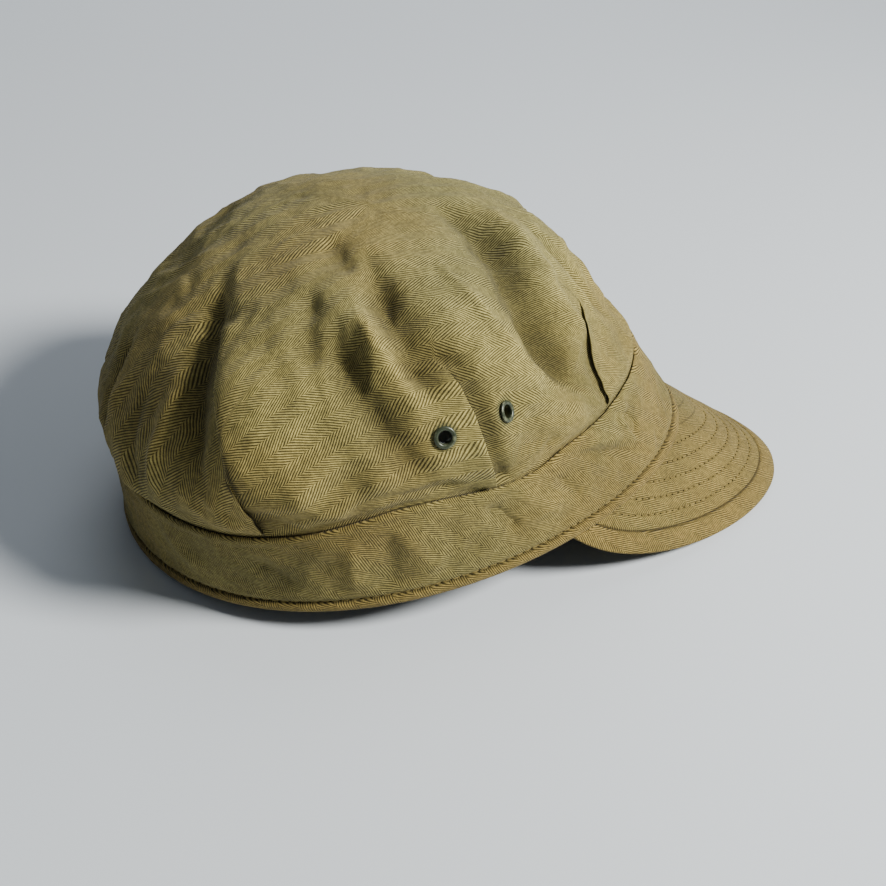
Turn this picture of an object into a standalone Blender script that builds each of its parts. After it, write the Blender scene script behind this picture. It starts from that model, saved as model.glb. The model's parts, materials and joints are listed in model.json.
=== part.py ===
"""Field cap: a soft cloth cap with a pleated crown, a sewn band, a short drooping peak and four eyelets.

Units are metres and +Z is up. The peak points along +X and the wearer's left side is +Y.
Every piece is worked out with the rim of the band level. The cap is then tipped back until it
stands by itself on the back of its band and on the edge of its peak, as a cap on a table does.
"""
import math

import bpy
import bmesh
from mathutils import Matrix, Vector

# The rim, which is the lower edge of the band round the head
RIM_HALF_LENGTH = 0.1018
RIM_HALF_WIDTH = 0.0780
NARROWER_FRONT = 0.14

# The band
BAND_HEIGHT = 0.0348
BAND_WALL = 0.0020
BAND_TOP_FRONT_LENGTH = 0.0950
BAND_TOP_BACK_LENGTH = 0.0900
BAND_TOP_HALF_WIDTH = 0.0808
BAND_TOP_SETBACK = 0.0104
BAND_EDGE_WAVE = 0.0030
HEM_ROLL = 0.0008

# The crown
CROWN_RISE = 0.0620
CROWN_WALL = 0.0014
CROWN_SKIRT = 0.0080
FOLD_REACH = 0.0100
FOLD_DEPTH = 0.0050

# The peak
PEAK_LENGTH = 0.0560
PEAK_WALL = 0.0030
PEAK_SPAN = math.radians(67.0)
PEAK_DROOP = math.radians(40.0)
PEAK_SIDE_DROOP = math.radians(46.0)
PEAK_SWEEP = 0.42
PEAK_FORWARD = 1.03
PEAK_END = math.radians(84.0)

# The eyelets
EYELET_RADIUS = 0.0034
EYELET_HOLE = 0.0020
EYELET_METAL = 0.0005
EYELET_RISE = 0.0242
EYELET_SEAT = 0.0085
EYELET_PRESS = 0.0001

# Room left between pieces that touch on the real cap
CLOTH_GAP = 0.0004
EYELET_GAP = 0.0003

# How finely the curved pieces are divided
COLUMNS = 80
ROWS_PER_SECTION = 2
PEAK_COLUMNS = 32
PEAK_ROWS = 6
EYELET_SIDES = 14
FOLD_STEPS = 6
MERGE = 0.00001
SHARP_ANGLE = math.radians(50.0)

# Crown sections from the band's top edge to the apex. Height is a share of CROWN_RISE. Front, back
# and width are shares of how far the seam inside the band's top edge reaches each way.
CROWN_SECTIONS = (
    # height, front, back, width
    (0.000, 1.000, 1.000, 1.000),
    (0.040, 1.000, 1.012, 1.006),
    (0.120, 0.965, 1.040, 1.040),
    (0.250, 0.902, 1.022, 1.050),
    (0.400, 0.838, 0.950, 1.018),
    (0.550, 0.775, 0.838, 0.948),
    (0.700, 0.700, 0.690, 0.846),
    (0.830, 0.603, 0.512, 0.718),
    (0.930, 0.455, 0.307, 0.520),
    (0.985, 0.290, 0.116, 0.320),
)
APEX_SHIFT = 0.08

# Band profile from the rim up. Height is a share of BAND_HEIGHT, proud is a share of HEM_ROLL.
BAND_PROFILE = (
    # height, proud
    (0.00, 0.5),
    (0.03, 1.0),
    (0.09, 1.0),
    (0.12, 0.0),
    (0.50, 0.3),
    (0.93, 0.0),
    (1.00, 0.6),
)

# Height shares of the rows on the band's inner face, from the rim up
BAND_INNER_SHARES = (0.0, 0.5, 1.0)

# Uneven stretches of the band's top edge. Angles are in degrees from the front, negative on the
# wearer's right, and lift is a share of BAND_EDGE_WAVE.
BAND_EDGE = (
    # angle, reach, lift
    (-66.0, 11.0, -1.2),
    (-96.0, 15.0, 1.2),
    (180.0, 110.0, -1.3),
)

# Pleats sewn into the seam on both sides, each from the crown down to the band. Angles are in
# degrees from the front and heights are shares of CROWN_RISE. Reach is a share of FOLD_REACH and
# depth is a share of FOLD_DEPTH, negative for a valley.
PLEATS = (
    # start angle, start height, middle angle, middle height, end angle, end height, reach, depth
    (27.0, 0.43, 35.5, 0.28, 42.0, 0.06, 0.85, -0.45),
    (74.5, 0.58, 73.5, 0.35, 73.0, 0.05, 0.75, -0.6),
    (79.5, 0.55, 78.5, 0.32, 78.0, 0.05, 0.7, 0.3),
    (135.0, 0.48, 130.0, 0.30, 125.0, 0.05, 0.85, -0.5),
    (129.0, 0.45, 123.5, 0.28, 118.0, 0.05, 0.7, 0.3),
    (160.0, 0.24, 154.0, 0.15, 148.0, 0.05, 0.9, -0.5),
)

# Folds where the cloth hangs slack on the wearer's right, with the same columns as the pleats
RIGHT_FOLDS = (
    # start angle, start height, middle angle, middle height, end angle, end height, reach, depth
    (-24.0, 0.87, -43.0, 0.68, -45.5, 0.30, 1.2, -0.6),
    (-10.0, 0.86, -22.5, 0.50, -28.0, 0.12, 1.2, 0.5),
    (-62.0, 0.85, -58.5, 0.52, -52.0, 0.24, 1.1, 0.5),
    (-85.0, 0.90, -86.0, 0.84, -85.5, 0.74, 1.0, -0.5),
    (-105.0, 0.75, -100.5, 0.66, -96.0, 0.56, 1.0, -0.5),
    (-95.0, 0.56, -92.5, 0.38, -90.0, 0.16, 0.9, -0.7),
    (-125.0, 0.87, -121.0, 0.84, -117.0, 0.80, 1.0, -0.4),
    (-126.5, 0.78, -125.0, 0.68, -123.5, 0.56, 1.3, 0.6),
    (-176.0, 0.80, -146.0, 0.64, -134.0, 0.48, 1.4, -0.6),
    (-174.0, 0.62, -172.5, 0.56, -171.0, 0.48, 1.2, -0.5),
)

# Slack folds on the wearer's left
LEFT_FOLDS = (
    # start angle, start height, middle angle, middle height, end angle, end height, reach, depth
    (30.0, 0.78, 40.0, 0.52, 44.0, 0.20, 1.2, -0.5),
    (60.0, 0.78, 57.0, 0.50, 52.0, 0.24, 1.2, 0.4),
    (90.0, 0.72, 93.0, 0.48, 91.0, 0.18, 1.1, -0.5),
    (111.0, 0.76, 109.0, 0.54, 105.0, 0.20, 1.3, 0.4),
    (160.0, 0.76, 145.0, 0.60, 136.0, 0.46, 1.4, -0.5),
)

# Eyelets, with the angle of each in degrees from the front
EYELETS = (
    # name, angle
    ("eyelet_right_front", -68.5),
    ("eyelet_right_rear", -84.5),
    ("eyelet_left_front", 68.5),
    ("eyelet_left_rear", 84.5),
)

# Colours
CROWN_COLOR = (0.235, 0.205, 0.098, 1.0)
BAND_COLOR = (0.250, 0.205, 0.095, 1.0)
PEAK_COLOR = (0.260, 0.212, 0.100, 1.0)
EYELET_COLOR = (0.070, 0.085, 0.070, 1.0)


def clear_scene():
    """Remove every object, so that the model starts from nothing."""
    for old in list(bpy.data.objects):
        bpy.data.objects.remove(old, do_unlink=True)


def new_collection(name):
    """Make a collection in the scene."""
    collection = bpy.data.collections.new(name)
    bpy.context.scene.collection.children.link(collection)
    return collection


def new_material(name, color, roughness, metallic):
    """Make a Principled material."""
    material = bpy.data.materials.new(name)
    material.use_nodes = True
    shader = material.node_tree.nodes["Principled BSDF"]
    shader.inputs["Base Color"].default_value = color
    shader.inputs["Roughness"].default_value = roughness
    shader.inputs["Metallic"].default_value = metallic
    material.diffuse_color = color
    return material


def oval(angle, centre, front, back, half_width):
    """A point of a level oval that is narrower at the front, in plan."""
    reach = front if math.cos(angle) > 0.0 else back
    taper = 1.0 - NARROWER_FRONT * math.cos(angle)
    return Vector((centre + reach * math.cos(angle), half_width * math.sin(angle) * taper, 0.0))


def bump(distance, reach):
    """A smooth hump, 1 at no distance and 0 beyond the reach."""
    share = min(abs(distance) / reach, 1.0)
    return (1.0 - share * share) ** 2


def band_height(angle):
    """Height of the band's top edge at an angle."""
    wave = 0.0
    for at, reach, lift in BAND_EDGE:
        away = angle - math.radians(at)
        wave += lift * bump(math.degrees(math.atan2(math.sin(away), math.cos(away))), reach)
    return BAND_HEIGHT + BAND_EDGE_WAVE * wave


def band_point(angle, share, inset):
    """A point of the band's outer face, moved in by the inset, at a share of its height."""
    front = RIM_HALF_LENGTH + (BAND_TOP_FRONT_LENGTH - RIM_HALF_LENGTH) * share - inset
    back = RIM_HALF_LENGTH + (BAND_TOP_BACK_LENGTH - RIM_HALF_LENGTH) * share - inset
    half_width = RIM_HALF_WIDTH + (BAND_TOP_HALF_WIDTH - RIM_HALF_WIDTH) * share - inset
    point = oval(angle, -BAND_TOP_SETBACK * share, front, back, half_width)
    point.z = band_height(angle) * share
    return point


def blend_rows(table, place):
    """Read a table between its rows with a smooth curve through them."""
    last = len(table) - 1
    first = min(int(place), last - 1)
    share = place - first
    before = table[max(first - 1, 0)]
    after = table[min(first + 2, last)]
    values = []
    for a, b, c, d in zip(before, table[first], table[first + 1], after):
        slope_in = (c - a) * 0.5
        slope_out = (d - b) * 0.5
        cubic = 2.0 * (b - c) + slope_in + slope_out
        square = 3.0 * (c - b) - 2.0 * slope_in - slope_out
        values.append(((cubic * share + square) * share + slope_in) * share + b)
    return values


def place_at_height(height):
    """The place in the crown's sections where a height share is reached."""
    halvings = 24
    low = 0.0
    high = len(CROWN_SECTIONS) - 1.0
    for _ in range(halvings):
        middle = (low + high) / 2.0
        if blend_rows(CROWN_SECTIONS, middle)[0] < height:
            low = middle
        else:
            high = middle
    return low


def smooth_crown_point(angle, place):
    """A point of the crown before its folds, at a place in the sections."""
    height, front, back, width = blend_rows(CROWN_SECTIONS, place)
    inset = BAND_WALL + CLOTH_GAP
    reach_front = front * (BAND_TOP_FRONT_LENGTH - inset)
    reach_back = back * (BAND_TOP_BACK_LENGTH - inset)
    half_width = width * (BAND_TOP_HALF_WIDTH - inset)
    point = oval(angle, -BAND_TOP_SETBACK, reach_front, reach_back, half_width)
    uneven = band_height(angle) - BAND_HEIGHT
    point.z = BAND_HEIGHT + CROWN_RISE * height + uneven * (1.0 - height) ** 2
    return point


def crown_normal(angle, place):
    """Outward direction of the smooth crown."""
    small_angle = 0.02
    small_place = 0.05
    low = max(place - small_place, 0.0)
    high = min(place + small_place, len(CROWN_SECTIONS) - 1.0)
    around = smooth_crown_point(angle + small_angle, place) - smooth_crown_point(angle - small_angle, place)
    upward = smooth_crown_point(angle, high) - smooth_crown_point(angle, low)
    return around.cross(upward).normalized()


def trace_fold(row, side):
    """Follow one row of a fold table over the smooth crown."""
    start_angle, start_height, middle_angle, middle_height, end_angle, end_height, reach, depth = row
    pull_angle = 2.0 * middle_angle - (start_angle + end_angle) / 2.0
    pull_height = 2.0 * middle_height - (start_height + end_height) / 2.0
    path = []
    for step in range(FOLD_STEPS + 1):
        share = step / FOLD_STEPS
        start = (1.0 - share) ** 2
        middle = 2.0 * share * (1.0 - share)
        end = share * share
        angle = math.radians(side * (start * start_angle + middle * pull_angle + end * end_angle))
        height = start * start_height + middle * pull_height + end * end_height
        path.append(smooth_crown_point(angle, place_at_height(height)))
    return path, reach * FOLD_REACH, depth * FOLD_DEPTH


def trace_all_folds():
    """Every fold and pleat of the crown as a path, a reach and a depth."""
    folds = [trace_fold(row, -1.0) for row in PLEATS]
    folds += [trace_fold(row, 1.0) for row in PLEATS]
    folds += [trace_fold(row, 1.0) for row in RIGHT_FOLDS]
    folds += [trace_fold(row, 1.0) for row in LEFT_FOLDS]
    return folds


def distance_to_path(point, path):
    """Shortest distance from a point to a run of straight pieces."""
    best = math.inf
    for start, end in zip(path, path[1:]):
        along = end - start
        share = (point - start).dot(along) / max(along.length_squared, 1e-12)
        nearest = start + along * min(max(share, 0.0), 1.0)
        best = min(best, (point - nearest).length)
    return best


def folded_point(angle, place, folds):
    """A point of the crown's outer face with its folds."""
    point = smooth_crown_point(angle, place)
    offset = sum(depth * bump(distance_to_path(point, path), reach) for path, reach, depth in folds)
    seam_fade = min(place, 1.0)
    return point + crown_normal(angle, place) * offset * seam_fade


def eyelet_seat(angle, folds):
    """The middle and the outward direction of the flat spot that an eyelet presses in the cloth."""
    place = place_at_height(EYELET_RISE / CROWN_RISE)
    small_angle = 0.08
    small_place = 0.5
    around = folded_point(angle + small_angle, place, folds) - folded_point(angle - small_angle, place, folds)
    upward = folded_point(angle, place + small_place, folds) - folded_point(angle, place - small_place, folds)
    return folded_point(angle, place, folds), around.cross(upward).normalized()


def crown_point(angle, place, folds, seats):
    """A point of the crown's outer face with its folds and the flat spots under its eyelets."""
    point = folded_point(angle, place, folds)
    for middle, outward in seats:
        from_middle = point - middle
        beyond = max(from_middle.length - EYELET_SEAT, 0.0)
        point = point - outward * from_middle.dot(outward) * bump(beyond, EYELET_SEAT / 2.0)
    return point


def column_angle(column):
    """Angle of one column of the crown and the band."""
    return 2.0 * math.pi * column / COLUMNS


def sheet_object(name, rows, closed, apex, collection, material):
    """Make an open sheet from rows of points, with its faces pointing out."""
    mesh_maker = bmesh.new()
    rings = [[mesh_maker.verts.new(point) for point in row] for row in rows]
    count = len(rings[0])
    steps = count if closed else count - 1
    for lower, upper in zip(rings, rings[1:]):
        for column in range(steps):
            after = (column + 1) % count
            mesh_maker.faces.new((lower[column], lower[after], upper[after], upper[column]))
    if apex is not None:
        top = mesh_maker.verts.new(apex)
        for column in range(steps):
            mesh_maker.faces.new((rings[-1][column], rings[-1][(column + 1) % count], top))
    bmesh.ops.remove_doubles(mesh_maker, verts=mesh_maker.verts, dist=MERGE)
    mesh = bpy.data.meshes.new(name)
    mesh_maker.to_mesh(mesh)
    mesh_maker.free()
    mesh.materials.append(material)
    mesh.shade_smooth()
    mesh.set_sharp_from_angle(angle=SHARP_ANGLE)
    sheet = bpy.data.objects.new(name, mesh)
    collection.objects.link(sheet)
    return sheet


def add_wall(sheet, thickness):
    """Give a sheet its thickness, inwards from its outer face."""
    wall = sheet.modifiers.new("wall", "SOLIDIFY")
    wall.thickness = thickness
    wall.offset = -1.0
    wall.use_even_offset = True


def make_crown(collection, material, folds, seats):
    """The crown, with a plain skirt that reaches down inside the band."""
    angles = [column_angle(column) for column in range(COLUMNS)]
    skirt_share = 1.0 - CROWN_SKIRT / BAND_HEIGHT
    rows = [[band_point(angle, skirt_share, BAND_WALL + CLOTH_GAP) for angle in angles]]
    steps = (len(CROWN_SECTIONS) - 1) * ROWS_PER_SECTION
    for step in range(steps + 1):
        place = step / ROWS_PER_SECTION
        rows.append([crown_point(angle, place, folds, seats) for angle in angles])
    apex_forward = APEX_SHIFT * BAND_TOP_FRONT_LENGTH - BAND_TOP_SETBACK
    apex = Vector((apex_forward, 0.0, BAND_HEIGHT + CROWN_RISE))
    crown = sheet_object("crown", rows, True, apex, collection, material)
    add_wall(crown, CROWN_WALL)
    return crown


def make_band(collection, material):
    """The band, a closed section run round the rim, with a rolled hem and a flat lower edge."""
    angles = [column_angle(column) for column in range(COLUMNS)]
    section = [(share, -proud * HEM_ROLL) for share, proud in BAND_PROFILE]
    section += [(share, BAND_WALL) for share in reversed(BAND_INNER_SHARES)]
    section.append(section[0])
    rows = [[band_point(angle, share, inset) for angle in angles] for share, inset in section]
    return sheet_object("band", rows, True, None, collection, material)


def peak_point(across, outward):
    """A point of the peak's upper face, from one end of its root to the other and out to its edge."""
    span = math.sin(across)
    angle = PEAK_SPAN * span
    root = band_point(angle, 0.0, 0.0)
    nudge = 0.001
    along = band_point(angle + nudge, 0.0, 0.0) - band_point(angle - nudge, 0.0, 0.0)
    square_out = Vector((along.y, -along.x, 0.0)).normalized()
    heading = square_out * (1.0 - PEAK_FORWARD) + Vector((PEAK_FORWARD, 0.0, 0.0))
    heading.normalize()
    length = PEAK_LENGTH * math.cos(across) ** (2.0 * PEAK_SWEEP) * outward
    droop = PEAK_DROOP + (PEAK_SIDE_DROOP - PEAK_DROOP) * span * span
    drop = Vector((0.0, 0.0, -math.sin(droop) * length - CLOTH_GAP))
    return root + heading * math.cos(droop) * length + drop


def make_peak(collection, material):
    """The peak, a stiff curved sheet whose root lies under the band's rim."""
    crossings = [PEAK_END * (2.0 * column / PEAK_COLUMNS - 1.0) for column in range(PEAK_COLUMNS + 1)]
    rows = []
    for row in range(PEAK_ROWS + 1):
        outward = 1.0 - row / PEAK_ROWS
        rows.append([peak_point(across, outward) for across in crossings])
    peak = sheet_object("peak", rows, False, None, collection, material)
    add_wall(peak, PEAK_WALL)
    return peak


def seat_frame(seat):
    """Where an eyelet sits: its place on the crown's outer face, with Z pointing out of the cloth."""
    middle, outward = seat
    return Matrix.Translation(middle) @ outward.to_track_quat("Z", "Y").to_matrix().to_4x4()


def turned_object(name, profile, sides, collection):
    """Turn a profile of radii and heights about Z."""
    mesh_maker = bmesh.new()
    corners = [mesh_maker.verts.new((radius, 0.0, height)) for radius, height in profile]
    for start, end in zip(corners, corners[1:]):
        mesh_maker.edges.new((start, end))
    if profile[0][0] > 0.0:
        mesh_maker.edges.new((corners[-1], corners[0]))
    mesh = bpy.data.meshes.new(name)
    mesh_maker.to_mesh(mesh)
    mesh_maker.free()
    shape = bpy.data.objects.new(name, mesh)
    collection.objects.link(shape)
    turned = shape.modifiers.new("turned", "SCREW")
    turned.angle = 2.0 * math.pi
    turned.steps = sides
    turned.render_steps = sides
    turned.use_merge_vertices = True
    turned.merge_threshold = MERGE
    turned.use_smooth_shade = True
    return shape


def make_eyelet(name, frame, collection, material):
    """A rolled metal eyelet that clasps the crown from both sides."""
    barrel = EYELET_HOLE + EYELET_METAL
    outer = EYELET_GAP - EYELET_PRESS
    inner = EYELET_PRESS - CROWN_WALL - EYELET_GAP
    profile = (
        (EYELET_HOLE, outer + 1.5 * EYELET_METAL),
        ((EYELET_HOLE + EYELET_RADIUS) / 2.0, outer + 2.0 * EYELET_METAL),
        (EYELET_RADIUS, outer + EYELET_METAL),
        (EYELET_RADIUS, outer),
        (barrel, outer),
        (barrel, inner),
        (EYELET_RADIUS, inner),
        (EYELET_RADIUS, inner - EYELET_METAL),
        (EYELET_HOLE, inner - EYELET_METAL),
    )
    eyelet = turned_object(name, profile, EYELET_SIDES, collection)
    eyelet.data.materials.append(material)
    eyelet.matrix_world = frame
    return eyelet


def cut_eyelet_seat(crown, name, frame, cutters):
    """Cut the hole for an eyelet's barrel and press the cloth flat under its two flanges."""
    hole = EYELET_HOLE + EYELET_METAL + EYELET_GAP
    flange = EYELET_RADIUS + EYELET_GAP
    reach = EYELET_RADIUS
    profile = (
        (0.0, reach),
        (flange, reach),
        (flange, -EYELET_PRESS),
        (hole, -EYELET_PRESS),
        (hole, EYELET_PRESS - CROWN_WALL),
        (flange, EYELET_PRESS - CROWN_WALL),
        (flange, -CROWN_WALL - reach),
        (0.0, -CROWN_WALL - reach),
    )
    cutter = turned_object(name, profile, EYELET_SIDES, cutters)
    cutter.matrix_world = frame
    cutter.hide_render = True
    cutter.display_type = "WIRE"
    cut = crown.modifiers.new(name, "BOOLEAN")
    cut.operation = "DIFFERENCE"
    cut.object = cutter
    return cutter


def evaluated_corners(piece, graph):
    """The corners of a piece with its modifiers applied."""
    shape = piece.evaluated_get(graph)
    return [shape.matrix_world @ vertex.co for vertex in shape.data.vertices]


def stand_up(pieces, peak, cutters):
    """Tip the cap back onto its heel and its peak, and centre it over the origin."""
    bpy.context.view_layer.update()
    graph = bpy.context.evaluated_depsgraph_get()
    heel = band_point(math.pi, 0.0, -BAND_PROFILE[0][1] * HEM_ROLL)
    tilt = max(math.atan2(heel.z - corner.z, corner.x - heel.x) for corner in evaluated_corners(peak, graph))
    tip = Matrix.Rotation(-tilt, 4, "Y")
    corners = [tip @ corner for piece in pieces for corner in evaluated_corners(piece, graph)]
    middle_x = (min(corner.x for corner in corners) + max(corner.x for corner in corners)) / 2.0
    middle_y = (min(corner.y for corner in corners) + max(corner.y for corner in corners)) / 2.0
    lowest = min(corner.z for corner in corners)
    move = Matrix.Translation((-middle_x, -middle_y, -lowest)) @ tip
    for item in pieces + cutters:
        item.matrix_world = move @ item.matrix_world


def main():
    """Build the cap."""
    clear_scene()
    parts = new_collection("field_cap")
    cutters = new_collection("cutters")
    crown_cloth = new_material("crown_cloth", CROWN_COLOR, 0.9, 0.0)
    band_cloth = new_material("band_cloth", BAND_COLOR, 0.9, 0.0)
    peak_cloth = new_material("peak_cloth", PEAK_COLOR, 0.9, 0.0)
    folds = trace_all_folds()
    seats = [eyelet_seat(math.radians(degrees), folds) for name, degrees in EYELETS]
    crown = make_crown(parts, crown_cloth, folds, seats)
    peak = make_peak(parts, peak_cloth)
    pieces = [crown, make_band(parts, band_cloth), peak]
    seat_cutters = []
    for (name, degrees), seat in zip(EYELETS, seats):
        metal = new_material(name + "_metal", EYELET_COLOR, 0.45, 0.7)
        frame = seat_frame(seat)
        pieces.append(make_eyelet(name, frame, parts, metal))
        seat_cutters.append(cut_eyelet_seat(crown, "cut_" + name, frame, cutters))
    stand_up(pieces, peak, seat_cutters)


main()
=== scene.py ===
"""Looks of the field cap: its cloth, folds, pleats, stitches and eyelets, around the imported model.

Lengths are metres unless a name ends in _mm or _MM. Every piece is worked out with the rim level, with
+X to the front and the wearer's left at +Y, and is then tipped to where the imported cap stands.
"""
import json
import math

import bmesh
import bpy
import numpy as np
from mathutils import Matrix, Vector, noise


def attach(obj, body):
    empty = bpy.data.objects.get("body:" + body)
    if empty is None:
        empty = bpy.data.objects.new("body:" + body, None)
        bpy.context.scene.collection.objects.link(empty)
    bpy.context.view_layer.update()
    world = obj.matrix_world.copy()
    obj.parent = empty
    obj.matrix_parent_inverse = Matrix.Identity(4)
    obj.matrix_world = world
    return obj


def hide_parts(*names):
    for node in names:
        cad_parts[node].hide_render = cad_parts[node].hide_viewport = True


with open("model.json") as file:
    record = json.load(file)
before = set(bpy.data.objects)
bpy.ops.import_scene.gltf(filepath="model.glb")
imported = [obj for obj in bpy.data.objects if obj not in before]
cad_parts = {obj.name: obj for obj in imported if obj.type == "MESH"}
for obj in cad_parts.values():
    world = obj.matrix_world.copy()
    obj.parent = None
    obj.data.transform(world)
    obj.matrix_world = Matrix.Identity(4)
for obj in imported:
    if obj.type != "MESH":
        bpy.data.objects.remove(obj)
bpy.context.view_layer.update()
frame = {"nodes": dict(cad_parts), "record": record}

MM = 0.001
LEVEL = np.array((1.0, 1.0, 0.0))
UP = np.array((0.0, 0.0, 1.0))

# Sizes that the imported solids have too
RIM_HALF_LENGTH = 0.1018
RIM_HALF_WIDTH = 0.0780
NARROWER_FRONT = 0.14
BAND_HEIGHT = 0.0348
BAND_TOP_FRONT_LENGTH = 0.0950
BAND_TOP_BACK_LENGTH = 0.0900
BAND_TOP_HALF_WIDTH = 0.0808
BAND_TOP_SETBACK = 0.0104
CROWN_RISE = 0.0620
CROWN_SKIRT = 0.0080
APEX_SHIFT = 0.08
PEAK_LENGTH = 0.0560
PEAK_WALL = 0.0030
PEAK_SPAN = math.radians(67.0)
PEAK_DROOP = math.radians(40.0)
PEAK_SIDE_DROOP = math.radians(46.0)
PEAK_SWEEP = 0.42
PEAK_FORWARD = 1.03
EYELET_RADIUS = 0.0034
EYELET_HOLE = 0.0020
EYELET_METAL = 0.0005

# Finer sizes of the cloth
CLOTH_WALL = 0.0013
BAND_WALL = 0.0016
CROWN_INSET = 0.0019
CROWN_RADIUS_MM = 86.0
CROWN_TIP_RADIUS = 0.0012
PLEAT_EDGE_MM = 0.55
PLEAT_SINK_MM = 0.4
HEM_HEIGHT_MM = 3.9
HEM_FULLNESS_MM = 1.15
HEM_GROOVE_MM = 0.25
BAND_TOP_ROUND_MM = 1.6
PEAK_END = math.radians(88.6)
PEAK_TUCK = 0.0017
EYELET_SEAT = 0.0048
EYELET_LEAN = math.radians(33.0)
EYELET_STANDS = 2.0 * EYELET_METAL + 0.0001

# How finely the cloth is divided
CROWN_COLUMNS = 640
CROWN_STEPS = 11
BAND_COLUMNS = 540
PEAK_COLUMNS = 340
PEAK_ROWS = 150
INNER_STEP = 4

# The weave
WEAVE_COLUMN = 0.0044
TWILL_PITCH = 0.00072
TWILL_STEEPNESS = 1.73
WEAVE_SLANT = math.radians(10.0)
BAND_BIAS = math.radians(50.0)

CROWN_SECTIONS = (
    # height, front, back, width
    (0.000, 1.000, 1.000, 1.000),
    (0.040, 1.000, 1.012, 1.006),
    (0.120, 0.965, 1.040, 1.040),
    (0.250, 0.902, 1.022, 1.050),
    (0.400, 0.838, 0.950, 1.018),
    (0.550, 0.775, 0.838, 0.948),
    (0.700, 0.700, 0.690, 0.846),
    (0.830, 0.603, 0.512, 0.718),
    (0.930, 0.455, 0.307, 0.520),
    (0.985, 0.290, 0.116, 0.320),
)

# Height of the band's top edge on the wearer's right. The left side mirrors it.
BAND_EDGE = (
    # angle, height_mm
    (0, 33.4),
    (25, 33.4),
    (35, 34.2),
    (46, 33.4),
    (56, 33.6),
    (61, 33.6),
    (64.5, 31.9),
    (69, 31.8),
    (75, 32.8),
    (80, 34.8),
    (88, 37.2),
    (96, 38.3),
    (104, 36.4),
    (112, 34),
    (121, 32.4),
    (131, 30.8),
    (146, 30),
    (180, 30.4),
)

# Pleats sewn into the seam on both sides. Angles count from the front and heights are shares of the
# crown's rise. Laps is 1 where the panel behind laps over the one in front, and -1 the other way. Turn
# is in degrees of the weave, and lift, lap, gap and hollow are millimetres.
PLEATS = (
    # seam angle, low angle, height, high angle, height, top angle, height,
    # laps, lift, lap, turn, gap, hollow, fade
    (43, 38.2, 0.20, 34.2, 0.36, 27.5, 0.50, -1, 0.5, 1.2, 14, 0.3, 0.8, 0.08),
    (76.4, 77, 0.20, 77.6, 0.45, 80.2, 0.70, 1, 1.8, 1.2, 19, 0.8, 2.4, 0.16),
    (122.8, 123.4, 0.17, 126.6, 0.32, 131.6, 0.46, 1, 1.1, 1.1, 12, 0.7, 0.6, 0.14),
)

# Folds on the wearer's right. A row ends in sharp for a crease, and in step for an edge that stands
# high on the side of larger angles. All other folds are soft.
RIGHT_FOLDS = (
    # start angle, height, middle angle, height, end angle, height, width_mm, depth_mm
    (-4, 0.985, -45, 0.76, -44.5, 0.10, 11.5, -8.4),
    (-8, 0.93, -33, 0.72, -33, 0.30, 7, 3.2),
    (-64.5, 0.94, -60.5, 0.62, -43.5, 0.04, 5, 3.4, "sharp"),
    (-75, 0.88, -69, 0.66, -56, 0.30, 8, 1.8),
    (-92, 0.985, -88, 0.81, -84.5, 0.52, 9, -6.6),
    (-119, 0.85, -101.5, 0.63, -88.5, 0.10, 9.5, -5),
    (-107, 0.92, -96, 0.77, -88.5, 0.50, 6, 2.8),
    (-131, 0.92, -122.5, 0.84, -115.5, 0.70, 6.5, -2.3),
    (-143, 0.77, -131, 0.52, -122, 0.16, 13, 3.2),
    (-137, 0.78, -122, 0.50, -113, 0.14, 17, 3.4),
    (-171, 0.84, -151, 0.67, -132.5, 0.24, 7.5, -4.4),
    (-164, 0.82, -139, 0.61, -123.5, 0.18, 8, 2, "step"),
    (-152, 0.58, -149, 0.40, -145, 0.10, 5.5, 2.2),
    (-178, 0.56, -173, 0.40, -166, 0.10, 8, 1.6, "step"),
    (-180, 0.54, -176, 0.38, -169, 0.12, 7, -2.6),
    (-162, 0.56, -158, 0.34, -153, 0.08, 5, -2.6),
    (-166, 0.15, -157, 0.06, -147, -0.02, 5, 1.4, "step"),
    (-150, 0.985, -128, 0.975, -108, 0.95, 7, -2.4),
    (-106, 0.50, -104, 0.34, -101, 0.14, 7, -1.4),
    (-99, 0.13, -91, 0.09, -82, 0.09, 4, -1.6),
    (-68, 0.30, -64, 0.16, -60, 0.04, 7, -1.4),
    (-57, 0.36, -54, 0.20, -50, 0.06, 7, 1.2),
    (-86, 0.70, -80, 0.70, -75, 0.62, 4, -2),
    (-10, 0.88, -17, 0.64, -17, 0.24, 4, -1.5),
    (0, 0.88, -6, 0.62, -7, 0.22, 5, 1.3),
    (-21, 0.84, -24, 0.60, -24, 0.30, 3.5, 1.3, "sharp"),
    (-36, 0.82, -38, 0.66, -36, 0.54, 3, 1.1, "sharp"),
    (-134, 0.28, -130, 0.16, -126, 0.03, 5, 1.2),
    (-121, 0.20, -118, 0.10, -113, 0.03, 4, -0.8),
    (-116, 0.34, -110, 0.18, -104, 0.06, 9, 1.6),
)

# Folds on the wearer's left
LEFT_FOLDS = (
    # start angle, height, middle angle, height, end angle, height, width_mm, depth_mm
    (34, 0.90, 44, 0.72, 46, 0.22, 8, -3),
    (60, 0.84, 61, 0.60, 50, 0.06, 6, 1.8, "sharp"),
    (90, 0.86, 87, 0.72, 84, 0.50, 8, -2.4),
    (100, 0.74, 94, 0.52, 91, 0.16, 7, -2.2),
    (112, 0.82, 110, 0.62, 106, 0.24, 10, 2),
    (150, 0.60, 144, 0.42, 137, 0.20, 8, -2.2),
    (174, 0.50, 170, 0.36, 166, 0.12, 7, -1.6),
    (14, 0.84, 20, 0.62, 24, 0.16, 6, 1.1),
    (66, 0.34, 63, 0.18, 60, 0.04, 7, -1),
)

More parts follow.
